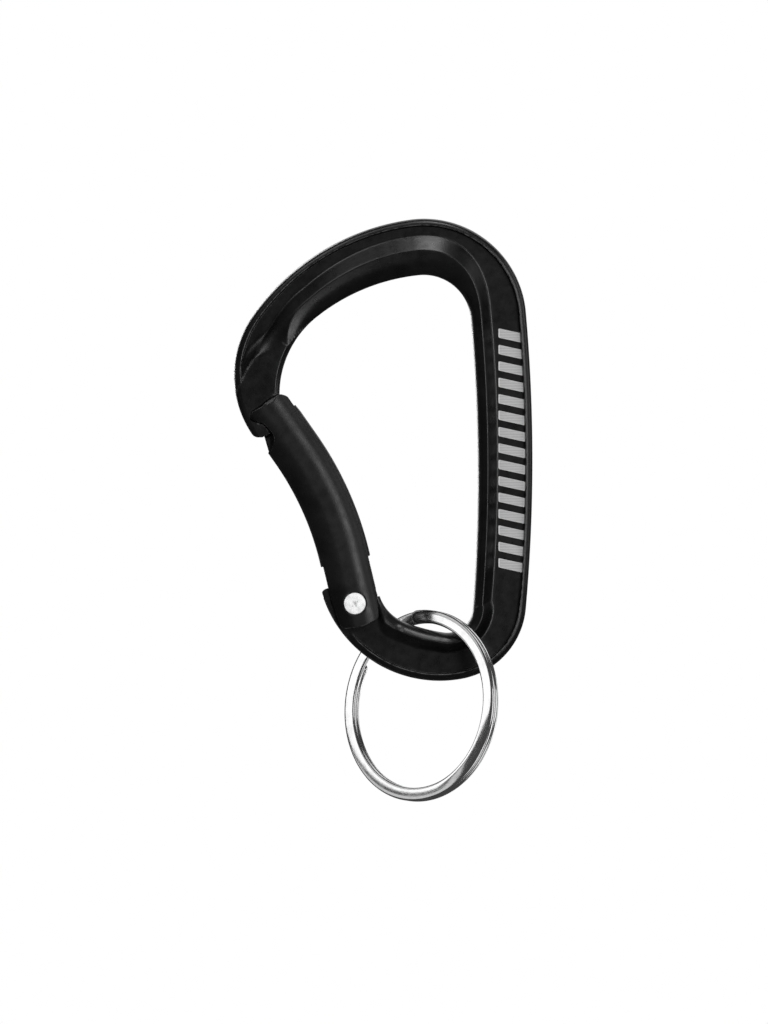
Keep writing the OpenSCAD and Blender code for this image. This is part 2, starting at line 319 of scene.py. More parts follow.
def complete(made, name, body, slot, material, *nodes, sharp=40):
    """Turns a solid in millimetres into a finished piece that stands for CAD nodes."""
    made.name = name
    made.data.name = name
    mesh = made.data
    # A mask that is high on sharply bent edges, for worn anodising and a painted highlight along the edges
    worn_and_highlit_edge = smooth((curvature(mesh) - 1.6) / 4.0)
    edge = mesh.attributes.new("edge", "FLOAT", "POINT")
    edge.data.foreach_set("value", worn_and_highlit_edge.astype(np.float32))
    mesh.shade_smooth()
    mesh.set_sharp_from_angle(angle=math.radians(sharp))
    mesh.transform(TO_METRES)
    mesh.materials.clear()
    mesh.materials.append(material)
    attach(made, body)
    if nodes:
        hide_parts(*nodes)
    return made


# ---- materials ------------------------------------------------------------------------------


class Shader:
    """A material's node tree, built up from its principled shader."""

    def __init__(self, name, **values):
        self.material = bpy.data.materials.new(name)
        self.material.use_nodes = True
        self.tree = self.material.node_tree
        self.principled = self.tree.nodes["Principled BSDF"]
        for socket, value in values.items():
            self.principled.inputs[socket.replace("_", " ")].default_value = value
        self.place = self.add("ShaderNodeTexCoord").outputs["Object"]

    def add(self, kind, **settings):
        node = self.tree.nodes.new(kind)
        for key, value in settings.items():
            setattr(node, key, value)
        return node

    def put(self, socket, value):
        """Links an output to an input, or sets the input's own value."""
        if isinstance(value, bpy.types.NodeSocket):
            self.tree.links.new(value, socket)
        else:
            socket.default_value = value

    def noise(self, scale, detail=2.0, rough=0.5, stretch=None):
        node = self.add("ShaderNodeTexNoise")
        place = self.place
        if stretch:
            mapping = self.add("ShaderNodeMapping")
            mapping.inputs["Scale"].default_value = stretch
            self.put(mapping.inputs["Vector"], place)
            place = mapping.outputs["Vector"]
        self.put(node.inputs["Vector"], place)
        node.inputs["Scale"].default_value = scale
        node.inputs["Detail"].default_value = detail
        node.inputs["Roughness"].default_value = rough
        return node.outputs["Fac"]

    def span(self, value, low, high, to_low=0.0, to_high=1.0):
        node = self.add("ShaderNodeMapRange")
        node.interpolation_type = "SMOOTHSTEP"
        self.put(node.inputs["Value"], value)
        for name, number in (("From Min", low), ("From Max", high), ("To Min", to_low), ("To Max", to_high)):
            node.inputs[name].default_value = number
        return node.outputs["Result"]

    def times(self, a, b):
        node = self.add("ShaderNodeMath", operation="MULTIPLY")
        self.put(node.inputs[0], a)
        self.put(node.inputs[1], b)
        return node.outputs[0]

    def plus(self, a, b):
        node = self.add("ShaderNodeMath", operation="ADD")
        self.put(node.inputs[0], a)
        self.put(node.inputs[1], b)
        return node.outputs[0]

    def blend(self, factor, a, b):
        node = self.add("ShaderNodeMix", data_type="RGBA")
        self.put(node.inputs["Factor"], factor)
        for name, colour in (("A", a), ("B", b)):
            socket = [s for s in node.inputs if s.name == name and s.type == "RGBA"][0]
            self.put(socket, colour if isinstance(colour, bpy.types.NodeSocket) else (*colour, 1))
        return [s for s in node.outputs if s.type == "RGBA"][0]

    def attribute(self, name):
        return self.add("ShaderNodeAttribute", attribute_name=name).outputs["Fac"]

    def bump(self, height, strength, distance, normal=None):
        node = self.add("ShaderNodeBump")
        node.inputs["Strength"].default_value = strength
        node.inputs["Distance"].default_value = distance
        self.put(node.inputs["Height"], height)
        if normal is not None:
            self.put(node.inputs["Normal"], normal)
        return node.outputs["Normal"]

    def finish(self, colour=None, roughness=None, normal=None):
        for name, value in (("Base Color", colour), ("Roughness", roughness), ("Normal", normal)):
            if value is not None:
                self.put(self.principled.inputs[name], value)
        return self.material


def anodised(name, dark, light, rough_low, rough_high):
    """Satin black anodised aluminium: a fine blasted grain, and a lighter colour on the sharp edges that is
    partly worn metal and partly a painted highlight.
    """
    s = Shader(name, Metallic=0.0, IOR=1.5)
    cloud = s.span(s.noise(210, 3), 0.35, 0.65)
    colour = s.blend(cloud, (dark,) * 3, (light, light, light * 1.03))
    # Lighter colour on the sharp edges: partly worn metal, partly a painted edge highlight
    worn_and_highlit = s.times(s.attribute("edge"), s.span(s.noise(1500, 4, 0.65), 0.36, 0.62))
    colour = s.blend(s.times(worn_and_highlit, 0.5), colour, (0.13, 0.13, 0.135))
    fleck = s.span(s.noise(5200, 2), 0.62, 0.75)
    colour = s.blend(s.times(fleck, 0.35), colour, (0.012, 0.012, 0.013))
    roughness = s.span(s.noise(900, 4, 0.6), 0.3, 0.7, rough_low, rough_high)
    grain = s.bump(s.noise(9000, 2, 0.6), 0.35, 0.00002)
    wave = s.bump(s.noise(650, 3), 0.08, 0.00004, grain)
    return s.finish(colour, roughness, wave)


def polished_steel(name):
    """Plated spring steel, drawn through a die: fine lines and small scuffs."""
    s = Shader(name, Metallic=1.0)
    lines = s.noise(1.0, 3, 0.6)
    mapping = s.add("ShaderNodeMapping")
    mapping.inputs["Scale"].default_value = (30, 2.5, 1)
    s.put(mapping.inputs["Vector"], s.add("ShaderNodeUVMap", uv_map="wire").outputs["UV"])
    s.put(lines.node.inputs["Vector"], mapping.outputs["Vector"])
    scuff = s.span(s.noise(700, 4, 0.6), 0.45, 0.7)
    colour = s.blend(s.span(lines, 0.3, 0.7), (0.74, 0.74, 0.745), (0.86, 0.86, 0.865))
    colour = s.blend(s.times(scuff, 0.35), colour, (0.60, 0.60, 0.61))
    roughness = s.plus(s.span(lines, 0.3, 0.75, 0.10, 0.16), s.times(scuff, 0.05))
    return s.finish(colour, roughness, s.bump(lines, 0.03, 0.00002))


def peened_steel(name):
    """The rivet: bright, with the fine pits of the peening tool."""
    s = Shader(name, Metallic=0.3)
    pits = s.noise(3800, 3, 0.6)
    smear = s.span(s.noise(1500, 4, 0.7), 0.42, 0.66)
    colour = s.blend(smear, (0.95, 0.95, 0.95), (0.78, 0.78, 0.79))
    colour = s.blend(s.times(s.attribute("mark"), 0.75), colour, (0.30, 0.30, 0.31))
    roughness = s.span(pits, 0.3, 0.7, 0.24, 0.42)
    return s.finish(colour, roughness, s.bump(pits, 0.3, 0.00002))


def spring_wire_steel(name):
    """Plain grey steel, for the spring and its pin."""
    s = Shader(name, Metallic=1.0)
    cloud = s.noise(1200, 3)
    colour = s.blend(s.span(cloud, 0.3, 0.7), (0.42, 0.42, 0.43), (0.58, 0.58, 0.6))
    return s.finish(colour, s.span(cloud, 0.3, 0.7, 0.2, 0.36), s.bump(s.noise(6000, 2), 0.2, 0.00001))


def laser_mark(name):
    """Where the anodising was burnt off in close parallel passes."""
    s = Shader(name, Metallic=0.15)
    wave = s.add("ShaderNodeTexWave", wave_type="BANDS", bands_direction="Z")
    s.put(wave.inputs["Vector"], s.place)
    wave.inputs["Scale"].default_value = 900
    wave.inputs["Distortion"].default_value = 1.2
    wave.inputs["Detail"].default_value = 2
    wave.inputs["Detail Scale"].default_value = 3
    lines = wave.outputs["Fac"]
    colour = s.blend(s.times(lines, 0.55), (0.62, 0.62, 0.62), (0.42, 0.42, 0.42))
    colour = s.blend(s.attribute("border"), colour, (0.78, 0.78, 0.78))
    speck = s.span(s.noise(6500, 2), 0.55, 0.7)
    colour = s.blend(s.times(speck, 0.4), colour, (0.66, 0.66, 0.66))
    return s.finish(colour, s.span(s.noise(4000, 2), 0.3, 0.7, 0.5, 0.7), s.bump(lines, 0.3, 0.00001))


# ---- the frame ------------------------------------------------------------------------------

CORNER_POINTS = 7


def spread(heading):
    """How far the ridge has spread: 0 on the spine, 1 at the top."""
    if heading > 8:
        return 1 - 0.55 * float(smooth((heading - 8) / 50))
    return float(smooth((heading + 85) / 75))


def section_line(corners, splits):
    """A section's points: each inner corner rounded, and each straight split into steps."""
    line = [np.array(corners[0][:2], float)[None]]
    for i in range(1, len(corners) - 1):
        x, y, setback = corners[i]
        bend = rounded_corner(corners[i - 1][:2], (x, y), corners[i + 1][:2], setback, CORNER_POINTS)
        line += [step_between(line[-1][-1], bend[0], splits[i - 1]), bend]
    last = np.array(corners[-1][:2], float)
    line += [step_between(line[-1][-1], last, splits[-1]), last[None]]
    return np.concatenate(line)


def step_between(a, b, count):
    """The points strictly between a and b that cut the way into count steps."""
    t = np.linspace(0, 1, count + 1)[1:-1, None]
    return a * (1 - t) + b * t


def channel_section(heading, wide):
    """Ridge, channel and rim: (distance from the inner edge, half thickness, rounding)."""
    k = spread(heading)
    low = float(smooth((-95 - heading) / 60))
    crest = min(mix(CREST_AT_SPINE, CREST_AT_TOP, k), wide * 0.48)
    foot = min(mix(FOOT_AT_SPINE, FOOT_AT_TOP, k), wide * 0.74)
    rim_w = min(RIM_WIDE, wide * 0.24)
    ridge, web, rim = RIDGE_THICK / 2, WEB_THICK / 2, RIM_THICK / 2
    ridge = mix(ridge, 0.72 * ridge, smooth((-190 - heading) / 20))
    return (
        (0, 0, 0),
        (0, mix(0.5, 0.42, low) * ridge, 0.7),
        (mix(0.42, 0.55, k) * crest, mix(0.9, 0.84, low) * ridge, 0.7),
        (crest, ridge, 0.16),
        (foot, web, 0.2),
        (wide - rim_w, web, 0.08),
        (wide - rim_w * 0.86, rim, 0.16),
        (wide - rim_w * 0.3, rim * 0.9, 0.25),
        (wide, rim * 0.55, 0.4),
        (wide, 0, 0),
    )


def nose_section(heading, wide):
    """The milled nose: flat sides, with a bevel along the inner edge."""
    flat = NOSE_THICK / 2
    channel = channel_section(heading, wide)
    return (
        (0, 0, 0),
        (0, flat * 0.55, 0.3),
        (0.18, flat * 0.8, 0.3),
        (0.55, flat, 0.15),
        (channel[4][0], flat, 0.3),
        (channel[5][0], flat, 0.1),
        (channel[6][0], flat, 0.1),
        (wide - 0.3, flat * 0.98, 0.2),
        (wide, flat * 0.78, 0.35),
        (wide, 0, 0),
    )


# Steps on each straight of a section
SECTION_SPLITS = (2, 2, 2, 6, 10, 1, 1, 1, 2)
# How many degrees of the sweep the channel takes to run out into the milled nose
MILLED_RAMP = 17


def milled(heading, share):
    """How far the nose's flat reaches, at a share of the way from the inner to the outer edge."""
    past = heading - 40 - 61 * share
    ramp = np.clip(past / MILLED_RAMP + 1, 0, 1)
    lip = 0.07 * smooth(1 + past / 4) * smooth(1 - past / 0.8)
    return ramp**1.6 + lip


# The line where the ridge is cut off beside the hinge
PAD_EDGE, PAD_EDGE_END = np.array([-5.6, -45.4]), np.array([-5.35, -47.7])


def beyond_pad_edge(points):
    """1 on the hinge's side of the line where the ridge is cut off square, else 0."""
    run = (PAD_EDGE_END - PAD_EDGE) / np.linalg.norm(PAD_EDGE_END - PAD_EDGE)
    across = np.array([run[1], -run[0]])
    return smooth(((points - PAD_EDGE) @ across + 0.45) / 0.9)


def frame_ring(heading):
    inner, outer = inner_point(heading), outer_point(heading)
    wide = float(np.linalg.norm(outer - inner))
    out = (outer - inner) / wide
    channel = section_line(channel_section(heading, wide), SECTION_SPLITS)
    nose = section_line(nose_section(heading, wide), SECTION_SPLITS)
    t = milled(heading, channel[:, 0] / wide)[:, None]
    line = mix(channel, nose, t)
    plane = inner + out * line[:, :1]
    web = WEB_THICK / 2
    if heading < -180:
        ridge_gone = beyond_pad_edge(plane) * (line[:, 0] < wide * 0.7)
        rim_gone = float(smooth((-220 - heading) / 10)) * (line[:, 0] >= wide * 0.7)
        gone = np.maximum(ridge_gone, rim_gone)
        line[:, 1] = mix(line[:, 1], np.minimum(line[:, 1], web), gone)
    front = np.stack([plane[:, 0], -line[:, 1], plane[:, 1]], 1)
    back = front[-2:0:-1] * (1, -1, 1)
    return np.concatenate([front, back])


def frame_headings(longest=0.26):
    """Headings close enough together that no step along an edge is long."""
    found, heading = [FIRST_HEADING], FIRST_HEADING
    while heading > LAST_HEADING:
        radius = max(arc_at(OUTER, heading)[1], arc_at(INNER, heading)[1])
        heading -= min(1.4, math.degrees(longest / radius))
        found.append(max(heading, LAST_HEADING))
    return found


def cam_point(angle):
    """The involute cam that the plunger pushes on."""
    turn = math.radians(angle)
    u = TANG_TOP + PLUNGER_OFFSET * turn
    return by_pivot(
        PLUNGER_OFFSET * math.cos(turn) + u * math.sin(turn),
        u * math.cos(turn) - PLUNGER_OFFSET * math.sin(turn),
    )


def tang_solid():
    """The flat tongue that the gate hinges on, with the cam along its top."""
    lead = soft_outline(
        [(-12.92, -42.7, 0), (-13.45, -41.25, 0.3), (-12.95, -40.85, 0.25), (*by_pivot(0, TANG_TOP), 0)]
    )
    cam = np.array([cam_point(a) for a in range(0, CAM_END_ANGLE + 1, 2)])
    back = [by_pivot(3.05, 1.2), by_pivot(3.12, 0.4), by_pivot(2.4, -1.5)]
    rest = np.array([*back, (-7.5, -45.5), (-10.5, -45), (-12.2, -43.6)])
    half = WEB_THICK / 2 - COPLANAR_GAP
    return through(np.concatenate([lead, cam, rest]), -half, half)


def within_circle(corners, radius, low, high):
    """What a block has in common with a round bar about the pivot."""
    bar = through(circle_outline(PIVOT, radius, 720), -5, 5)
    return combine(through(corners, low, high), "INTERSECT", bar)


def nose_end_tools():
    """What is taken off to round the nose's corner and to end its blade on an arc."""
    low, high = -4, 4
    centre = NOSE_CORNER + side(OUTER_HEADING) * NOSE_CORNER_RADIUS
    beside = NOSE_CORNER - 4 * side(OUTER_HEADING)
    outline = [NOSE_CORNER, beside, (-26, -27), (BLADE_EDGE, -27), (BLADE_EDGE, NOSE_FOOT)]
    corner = through([*outline, (centre[0], NOSE_FOOT), centre], low, high)
    combine(corner, "DIFFERENCE", through(circle_outline(centre, NOSE_CORNER_RADIUS), low - 1, high + 1))
    block = [(BLADE_EDGE, CUT_TOP), (-17, CUT_TOP), (-17, CUT_FOOT), (BLADE_EDGE, CUT_FOOT)]
    return corner, within_circle(block, BLADE_RADIUS, low, high)


def nose_groove_tool():
    """A shallow groove in the nose's end, which the tongue in the gate's slot runs in."""
    block = [(-23.5, CUT_TOP), (-17, CUT_TOP), (-17, CUT_FOOT), (-23.5, CUT_FOOT)]
    half = TONGUE_HALF + TONGUE_PLAY
    return within_circle(block, TONGUE_RADIUS + TONGUE_GAP, -half, half)


def nose_recess_tools():
    """The recess on each side of the nose's blade, which the gate's hooks sit in."""
    g = NOSE_GAP
    outline = soft_outline(
        [
            (-16, -15.54 + g, 0),
            (-18.85, -15.5 + g, 0),
            (-20.5 - g * 0.5, -16.4 + g, 0.4),
            (-21.25 - g * 0.5, -17.15 + g, 0.3),
            (-22.55 - g, -17.9 + g * 0.6, 0.45),
            (-22.6 - g, -18.95 - g * 0.6, 0.45),
            (-20.95, -19.4 - g, 0.5),
            (-19.75 - g, -21.0, 0.7),
            (-19.9 - g, -23.5, 0),
            (-16, -23.5, 0),
        ]
    )
    half = SLOT_WIDE / 2 - BLADE_GAP
    return through(outline, half, 5), through(outline, -5, -half)


def build_frame(material):
    made = face_outwards(skin("frame_sweep", [frame_ring(h) for h in frame_headings()]))
    combine(made, "UNION", tang_solid())
    combine(made, "DIFFERENCE", *nose_end_tools(), *nose_recess_tools(), nose_groove_tool())
    bore = through(circle_outline(PIVOT, RIVET_D / 2 + RIVET_PLAY, 96), -3, 3)
    combine(made, "DIFFERENCE", bore)
    return complete(made, "carabiner_frame", "frame", "anodised_frame", material, "frame", sharp=35)


# ---- the gate -------------------------------------------------------------------------------


def gate_ring(base, heading, arc_points=18):
    """The bar's section, flat in the middle with rounded sides, at a point of its centreline."""
    flat, upright = (GATE_WIDE - GATE_THICK) / 2, 0.5
    wide, tall = GATE_WIDE / 2 - flat, GATE_THICK / 2 - upright
    turn = np.linspace(0, math.pi / 2, arc_points)
    corner = np.stack([flat + wide * np.cos(turn), upright + tall * np.sin(turn)], 1)
    right = np.concatenate([(corner * (1, -1))[::-1], corner])
    ring = np.concatenate([right, -right])
    plane = base + ring[:, :1] * side(heading)
    return np.stack([plane[:, 0], ring[:, 1], plane[:, 1]], 1)


def gate_bar():
    base = by_pivot(GATE_OFFSET, GATE_ARC_BASE)
    centre = base - GATE_ACROSS * GATE_BEND_RADIUS
    rings = [gate_ring(base - GATE_ALONG * GATE_END_SPARE, GATE_LOW_ANGLE)]
    for heading in np.linspace(GATE_LOW_ANGLE, GATE_HIGH_ANGLE, 40):
        rings.append(gate_ring(centre + GATE_BEND_RADIUS * side(heading), heading))
    top = centre + GATE_BEND_RADIUS * side(GATE_HIGH_ANGLE)
    rings.append(gate_ring(top + GATE_END_SPARE * ahead(GATE_HIGH_ANGLE), GATE_HIGH_ANGLE))
    return face_outwards(skin("gate_sweep", rings))


def gate_outline():
    """What the bar is trimmed to: its hooks at the top and its fork at the hinge."""
    return soft_outline(
        [
            (-22.62, -20.95, 0),
            (-22.6, -17.88, 0.4),
            (-21.25, -17.2, 0.3),
            (-20.5, -16.4, 0.4),
            (-18.85, -15.5, 0.35),
            (-17.75, -15.85, 0.5),
            (-15.5, -18.6, 0),
            (-5, -30, 0),
            (*by_pivot(3.8, 7), 0),
            (*by_pivot(3.05, 0.6), 0.6),
            (-5.95, -44.75, 0.7),
            (-8.3, -45.9, 1.2),
            (-10.85, -46.1, 0.6),
            (*by_pivot(-2.85, 0.6), 0.6),
            (*by_pivot(-3.8, 7), 0),
            (-21, -34, 0),
            (-24, -25, 0),
            (-20.3, -23.1, 0),
            (-20.93, -20.95, 0),
        ]
    )


def hook_hollow_tools():
    """The hollow behind each hook, which the nose's end sits in."""
    outline = soft_outline(
        [
            (-24.5, -18.45, 0),
            (-20.95, -19.4, 0.4),
            (-19.5, -21.0, 0.8),
            (-19.75, -22.4, 0.5),
            (-20.6, -23.9, 0),
            (-24.5, -22, 0),
        ]
    )
    half = SLOT_WIDE / 2 - 0.05
    return through(outline, half, 5), through(outline, -5, -half)


def gate_slot_tools():
    """The slot for the nose's blade, with a tongue on its floor, and the slot for the tang."""
    half = SLOT_WIDE / 2
    wall = [(-19.2, -24), (-18.5, -19.9), (-17.9, -18.4), (-15.9, -15.4), (-14, -12)]
    outline = [(-26, -24), *wall, (-26, -12)]
    upper = through(outline, -half, half)
    combine(upper, "DIFFERENCE", through(circle_outline(PIVOT, BLADE_RADIUS - BLADE_GAP, 720), -4, 4))
    tongue = through(circle_outline(PIVOT, TONGUE_RADIUS, 720), -TONGUE_HALF, TONGUE_HALF)
    combine(upper, "DIFFERENCE", tongue)
    corners = [by_pivot(-6, SLOT_ROOF), by_pivot(6, SLOT_ROOF), by_pivot(6, -6), by_pivot(-6, -6)]
    return upper, through(corners, -half, half)


def end_chamfer_tools():
    """The bevel along the top of both hooks, front and back."""
    run = (CHAMFER_END - CHAMFER_START) / np.linalg.norm(CHAMFER_END - CHAMFER_START)
    out = np.array([-run[1], run[0]])
    tools = []
    for front in (-1, 1):
        face = front * GATE_THICK / 2
        deep = face - front * CHAMFER_SLOPE * (CHAMFER_IN + CHAMFER_OUT)
        clear = face + front
        profile = ((-CHAMFER_IN, face), (CHAMFER_OUT, deep), (CHAMFER_OUT, clear), (-CHAMFER_IN, clear))
        rings = [
            np.array([(p[0] + out[0] * d, y, p[1] + out[1] * d) for d, y in profile])
            for p in (CHAMFER_START, CHAMFER_END)
        ]
        tools.append(face_outwards(skin("tool", rings)))
    return tools


def build_gate(material):
    made = gate_bar()
    combine(made, "INTERSECT", through(gate_outline(), -GATE_THICK, GATE_THICK))
    combine(made, "DIFFERENCE", *gate_slot_tools(), *hook_hollow_tools(), *end_chamfer_tools())
    head = circle_outline(PIVOT, RIVET_HEAD_D / 2 + 0.08, 96)
    shank = circle_outline(PIVOT, RIVET_D / 2, 96)
    seats = through(head, RIVET_SEAT, 4), through(head, -4, -RIVET_SEAT)
    combine(made, "DIFFERENCE", *seats, through(shank, -4, 4))
    base = by_pivot(PLUNGER_OFFSET, SLOT_ROOF - 1)
    combine(made, "DIFFERENCE", rod(base, GATE_ALONG, SPRING_BORE_D / 2, SPRING_SEAT - SLOT_ROOF + 1))
    soften(made, 0.08, 5)
    return complete(made, "gate_bar", "gate", "anodised_gate", material, "gate", sharp=60)


# ---- rivet, plunger and spring --------------------------------------------------------------


def turned(name, profile, base, axis, count=96):
    """A turned solid: profile points (radius, height) about an axis from base."""
    axis = np.array(axis, float) / np.linalg.norm(axis)
    across = np.cross(axis, [0.3, 0.5, 0.81])
    across /= np.linalg.norm(across)
    other = np.cross(axis, across)
    turn = np.linspace(0, 2 * math.pi, count, endpoint=False)[:, None]
    ring = np.cos(turn) * across + np.sin(turn) * other
    rings = [np.array(base) + ring * r + axis * h for r, h in profile]
    return face_outwards(skin(name, rings))


def build_rivet(material):
    seat = RIVET_SEAT
    r, top = RIVET_HEAD_D / 2, seat + RIVET_HEAD_HIGH
    edge = rounded_corner((r, seat), (r, top - 0.04), (0, top), 0.16, 9)
    dome = [(r * share, top - 0.04 * share**2) for share in np.linspace(0.8, 0.04, 16)]
    head = [(r - 0.04, seat + 0.001), (r, seat + 0.06), *map(tuple, edge), *dome]
    profile = [(a, -b) for a, b in reversed(head)] + [(RIVET_D / 2, -seat), (RIVET_D / 2, seat)] + head
    base = (PIVOT[0], 0, PIVOT[1])
    made = turned("rivet", profile, base, (0, 1, 0), 144)
    press_marks(made, top)
    return complete(made, "hinge_rivet", "gate", "rivet_steel", material, "gate_rivet", sharp=50)


# The punch's marks on each head: (x, z, radius) from the pivot
PUNCH_MARKS = (
    (0.0, 0.0, 0.34),
    (0.12, -0.3, 0.2),
    (-0.22, 0.18, 0.18),
    (0.3, 0.2, 0.13),
    (-0.3, -0.35, 0.13),
)
PUNCH_DEPTH = 0.035


def press_marks(made, top):
    """Sinks the shallow marks of the peening punch into both heads."""
    mesh = made.data
    at = np.zeros(len(mesh.vertices) * 3)
    mesh.vertices.foreach_get("co", at)
    at = at.reshape(-1, 3)
    depth = np.zeros(len(at))
    for x, z, radius in PUNCH_MARKS:
        away = np.hypot(at[:, 0] - PIVOT[0] - x, at[:, 2] - PIVOT[1] - z)
        depth = np.maximum(depth, smooth(1 - away / radius))
    depth *= np.abs(at[:, 1]) > top - 0.1
    at[:, 1] -= np.sign(at[:, 1]) * depth * PUNCH_DEPTH
    mesh.vertices.foreach_set("co", at.ravel())
    mark = mesh.attributes.new("mark", "FLOAT", "POINT")
    mark.data.foreach_set("value", depth.astype(np.float32))


def build_plunger(material):
    r, long = PLUNGER_D / 2, PLUNGER_LONG
    tip = rounded_corner((0, 0), (r, 0), (r, 1), 0.25, 7)
    back = rounded_corner((r, long - 1), (r, long), (0, long), 0.15, 5)
    profile = [(0.02, 0), (r * 0.4, 0), *map(tuple, tip), *map(tuple, back), (r * 0.4, long), (0.02, long)]
    at = by_pivot(PLUNGER_OFFSET, TANG_TOP + TANG_GAP)
    made = turned("plunger", profile, (at[0], 0, at[1]), (GATE_ALONG[0], 0, GATE_ALONG[1]), 64)
    return complete(made, "plunger_pin", "plunger", "spring_steel", material, "spring_plunger", sharp=50)


def build_spring(material):
    coil_r = (SPRING_BORE_D - SPRING_PLAY) / 2 - SPRING_WIRE / 2
    low = TANG_TOP + TANG_GAP + PLUNGER_LONG + SPRING_GAP + SPRING_WIRE / 2
    high = SPRING_SEAT - SPRING_GAP - SPRING_WIRE / 2
    axis = np.array([GATE_ALONG[0], 0, GATE_ALONG[1]])
    across = np.array([GATE_ACROSS[0], 0, GATE_ACROSS[1]])
    origin = np.array([PIVOT[0], 0, PIVOT[1]]) + across * PLUNGER_OFFSET
    through_axis = np.array([0, 1, 0])
    rings = []
    for turn in np.linspace(0, SPRING_TURNS, SPRING_TURNS * 36 + 1):
        a = 2 * math.pi * turn
        out = across * math.cos(a) + through_axis * math.sin(a)
        height = low + (high - low) * turn / SPRING_TURNS
        b = np.linspace(0, 2 * math.pi, 14, endpoint=False)[:, None]
        wire = SPRING_WIRE / 2 * (np.cos(b) * out + np.sin(b) * axis)
        rings.append(origin + out * coil_r + axis * height + wire)
    made = face_outwards(skin("spring", rings))
    complete(made, "closing_spring", "gate", "spring_steel", material, "gate_spring", sharp=60)
    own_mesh(made)
    return made


# ---- the key ring ---------------------------------------------------------------------------


def power(value, exponent):
    """A power that keeps the sign."""
    return np.sign(value) * np.abs(value) ** exponent


def turn_about(axis, degrees):
    c, s = math.cos(math.radians(degrees)), math.sin(math.radians(degrees))
    return np.array({"Y": ((c, 0, s), (0, 1, 0), (-s, 0, c)), "Z": ((c, -s, 0), (s, c, 0), (0, 0, 1))}[axis])


def build_key_ring(material):
    """Two turns of flat wire, with rounded edges and rounded ends."""
    mid, half_gap = (RING_D - RING_WIRE_WIDE) / 2, (RING_WIRE_THICK + 0.03) / 2
    w, t = RING_WIRE_WIDE / 2, RING_WIRE_THICK / 2
    turns = np.linspace(-math.pi, math.pi, 44, endpoint=False)
    across = w * power(np.cos(turns), 2 / WIRE_SQUARE_ACROSS)
    thick = t * power(np.sin(turns), 2 / WIRE_SQUARE_THROUGH)
    wire = np.stack([across, thick], 1)
    swing = turn_about("Y", RING_LEAN) @ turn_about("Z", -RING_TURN)
    angles = np.linspace(WIRE_FIRST, WIRE_LAST, 1100)
    rings = []
    for a in angles:
        end = min(a - WIRE_FIRST, WIRE_LAST - a) * math.radians(mid)
        narrow = math.sqrt(max(1 - (1 - min(end / (0.85 * w), 1)) ** 2, 0.004))
        shrink = math.sqrt(max(1 - (1 - min(end / (0.5 * t), 1)) ** 2, 0.02))
        depth = half_gap * (2 * float(smooth((a - CROSS_START) / CROSS_LONG)) - 1)
        near = float(smooth(1.35 - abs(a % 360 - WIRE_TWIST_AT) / WIRE_TWIST_LONG))
        twist = math.radians(WIRE_CONE + WIRE_TWIST * near)
        across, thick = wire[:, 0] * narrow, wire[:, 1] * shrink
        radius, turn = mid + across * math.cos(twist) - thick * math.sin(twist), math.radians(a)
        y = depth + across * math.sin(twist) + thick * math.cos(twist)
        ring = np.stack([radius * math.sin(turn), y, radius * math.cos(turn)], 1)
        rings.append(ring @ swing.T + np.array(RING_CENTRE))
    made = face_outwards(skin("ring", rings))
    wire_map(made, len(wire), len(rings))
    return complete(made, "split_ring", "key_ring", "polished_steel", material, "key_ring", sharp=60)


def wire_map(made, n, count):
    """A flat map of a wire: across its section, and along its length."""
    mesh = made.data
    corners = np.zeros(len(mesh.loops), int)
    mesh.loops.foreach_get("vertex_index", corners)
    layer = mesh.uv_layers.new(name="wire")
    across = 1 - np.abs(2 * (corners % n) / n - 1)
    flat = np.stack([across, corners // n / count * 7], 1)
    layer.data.foreach_set("uv", flat.ravel())


# ---- plain marks on the spine ---------------------------------------------------------------


# The bars from the top one's top to the last one's end, their sides, their slant and their rise
MARKS_TOP, MARKS_END, MARK_COUNT = -7.0, -39.0, 15
MARK_LEFT, MARK_RIGHT, MARK_SLANT, MARK_RISE = 9.55, 13.0, 0.75, 0.012
MARK_PITCH = (MARKS_TOP - MARKS_END) / MARK_COUNT
MARK_TALL, MARK_CORNER = 0.56 * MARK_PITCH, 0.18
# Rings of one bar: (depth, share of its size, how much of the border's colour)
MARK_RINGS = ((0.02, 1.0, 1.0), (0.0, 1.0, 1.0), (0.0, 0.93, 1.0), (0.0, 0.9, 0.0))


def mark_outline(top):
    """One slanted bar with rounded corners."""
    corners = [(MARK_LEFT, top), (MARK_RIGHT, top - MARK_SLANT)]
    corners += [(x, z - MARK_TALL) for x, z in reversed(corners)]
    return soft_outline([(x, z, MARK_CORNER) for x, z in corners], 5)


def build_marks(material):
    """A row of plain slanted bars where the spine's flat carries a light print."""
    y = -WEB_THICK / 2 - MARK_RISE
    points, faces, border = [], [], []
    for i in range(MARK_COUNT):
        top = MARKS_TOP - i * MARK_PITCH
        middle = np.array([(MARK_LEFT + MARK_RIGHT) / 2, top - (MARK_TALL + MARK_SLANT) / 2])
        outline = mark_outline(top)
        faces += ring_faces(len(MARK_RINGS), len(outline), len(points))
        for level, share, line in MARK_RINGS:
            points += [(p[0], y + level, p[1]) for p in middle + (outline - middle) * share]
            border += [line] * len(outline)
    made = face_outwards(make_object("marks", points, faces))
    edge = made.data.attributes.new("border", "FLOAT", "POINT")
    edge.data.foreach_set("value", np.array(border, np.float32))
    return complete(made, "spine_marks", "frame", "anodised_frame", material, sharp=30)


# ---- the studio -----------------------------------------------------------------------------


